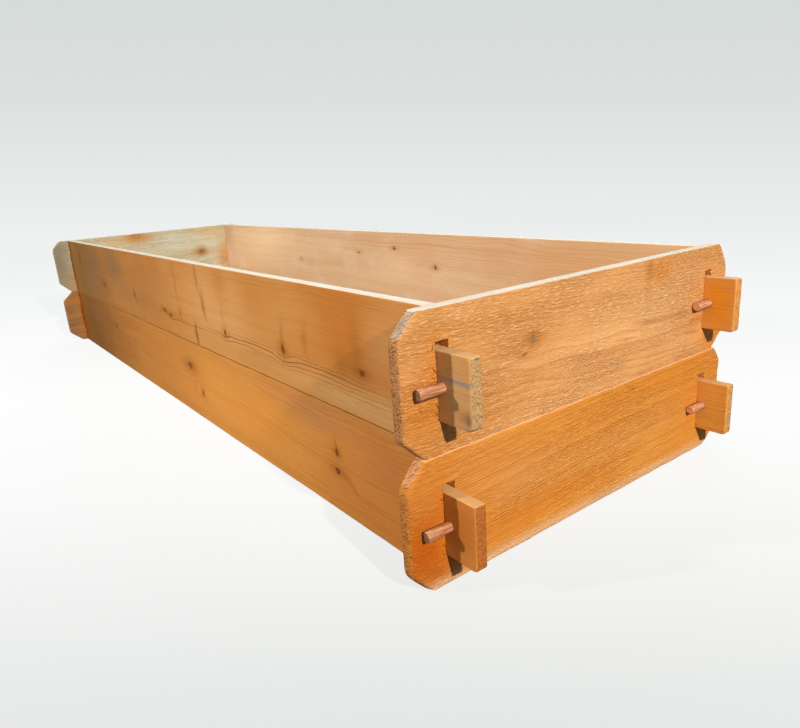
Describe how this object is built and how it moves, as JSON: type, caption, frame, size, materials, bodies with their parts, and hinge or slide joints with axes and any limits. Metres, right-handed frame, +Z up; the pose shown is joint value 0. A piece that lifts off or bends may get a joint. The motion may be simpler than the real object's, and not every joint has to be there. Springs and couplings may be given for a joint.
{
  "type": "raised garden bed frame",
  "caption": "Long open raised garden bed frame in cedar, two stacked tiers of boards, corners of through tenons locked by round wooden pegs.",
  "frame": {"origin": "on the ground, in the middle of the bed's plan, under the lower edges of the boards", "axes": "+X along the long boards to the right end, +Y to the back, +Z up"},
  "size_m": [2.286, 0.7494, 0.3813],
  "materials": {
    "cedar_planed": "planed, oiled",
    "cedar_rough_sawn": "rough sawn",
    "peg_wood": "smooth dowel"
  },
  "bodies": {
    "lower_tier": {"lower_front_board": "cedar_planed", "lower_back_board": "cedar_planed", "lower_left_end_board": "cedar_rough_sawn", "lower_right_end_board": "cedar_rough_sawn"},
    "upper_tier": {"upper_front_board": "cedar_planed", "upper_back_board": "cedar_planed", "upper_left_end_board": "cedar_rough_sawn", "upper_right_end_board": "cedar_rough_sawn"},
    "lower_front_left_peg": {"lower_front_left_peg": "peg_wood"},
    "lower_front_right_peg": {"lower_front_right_peg": "peg_wood"},
    "lower_back_left_peg": {"lower_back_left_peg": "peg_wood"},
    "lower_back_right_peg": {"lower_back_right_peg": "peg_wood"},
    "upper_front_left_peg": {"upper_front_left_peg": "peg_wood"},
    "upper_front_right_peg": {"upper_front_right_peg": "peg_wood"},
    "upper_back_left_peg": {"upper_back_left_peg": "peg_wood"},
    "upper_back_right_peg": {"upper_back_right_peg": "peg_wood"}
  },
  "joints": [
    {"name": "upper_tier_lift", "type": "slide", "parent": "lower_tier", "child": "upper_tier", "axis": [0, 0, 1], "range_m": [0, 0.22]},
    {"name": "lower_front_left_peg_pull", "type": "slide", "parent": "lower_tier", "child": "lower_front_left_peg", "axis": [0, -1, 0], "range_m": [0, 0.06]},
    {"name": "lower_front_right_peg_pull", "type": "slide", "parent": "lower_tier", "child": "lower_front_right_peg", "axis": [0, -1, 0], "range_m": [0, 0.06]},
    {"name": "lower_back_left_peg_pull", "type": "slide", "parent": "lower_tier", "child": "lower_back_left_peg", "axis": [0, 1, 0], "range_m": [0, 0.06]},
    {"name": "lower_back_right_peg_pull", "type": "slide", "parent": "lower_tier", "child": "lower_back_right_peg", "axis": [0, 1, 0], "range_m": [0, 0.06]},
    {"name": "upper_front_left_peg_pull", "type": "slide", "parent": "upper_tier", "child": "upper_front_left_peg", "axis": [0, -1, 0], "range_m": [0, 0.06]},
    {"name": "upper_front_right_peg_pull", "type": "slide", "parent": "upper_tier", "child": "upper_front_right_peg", "axis": [0, -1, 0], "range_m": [0, 0.06]},
    {"name": "upper_back_left_peg_pull", "type": "slide", "parent": "upper_tier", "child": "upper_back_left_peg", "axis": [0, 1, 0], "range_m": [0, 0.06]},
    {"name": "upper_back_right_peg_pull", "type": "slide", "parent": "upper_tier", "child": "upper_back_right_peg", "axis": [0, 1, 0], "range_m": [0, 0.06]}
  ]
}
